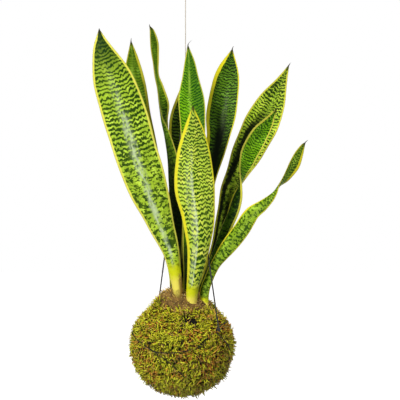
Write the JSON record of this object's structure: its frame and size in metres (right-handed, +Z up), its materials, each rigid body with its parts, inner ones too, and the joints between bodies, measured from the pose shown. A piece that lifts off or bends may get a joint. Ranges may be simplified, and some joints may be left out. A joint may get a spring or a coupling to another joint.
{
  "type": "snake plant kokedama",
  "caption": "Variegated snake plant rooted in a thread-bound moss ball that hangs by a cord hanger from a tied loop.",
  "frame": {"origin": "inner top of the hanging loop, where it bears on a hook", "axes": "+Z up along the hanging line, +X to the right and +Y to the back, with the broad front leaf facing -Y"},
  "size_m": [0.2504, 0.1294, 0.5149],
  "materials": {
    "leaf": "satin",
    "rhizome": "matte",
    "soil": "matte",
    "moss": "matte",
    "dark_cord": "matte",
    "pale_twine": "matte"
  },
  "bodies": {
    "root": {"leaf_left_broad": "leaf", "leaf_left_rear": "leaf", "leaf_slender_twisted": "leaf", "leaf_rear_dark": "leaf", "leaf_centre_tall": "leaf", "leaf_front": "leaf", "leaf_rear_right": "leaf", "leaf_right_tall": "leaf", "leaf_right_curled": "leaf", "leaf_right_low": "leaf", "rhizome": "rhizome", "soil_core": "soil", "moss_jacket": "moss", "binding_wrap_1": "dark_cord", "binding_wrap_2": "dark_cord", "binding_wrap_3": "dark_cord", "hitch_knot_right": "dark_cord", "hitch_knot_left": "dark_cord", "hanger_leg_right": "dark_cord", "hanger_leg_left": "dark_cord", "gathering_knot": "dark_cord", "hanging_line": "pale_twine", "loop_knot": "pale_twine", "hanging_loop": "pale_twine"}
  },
  "joints": []
}
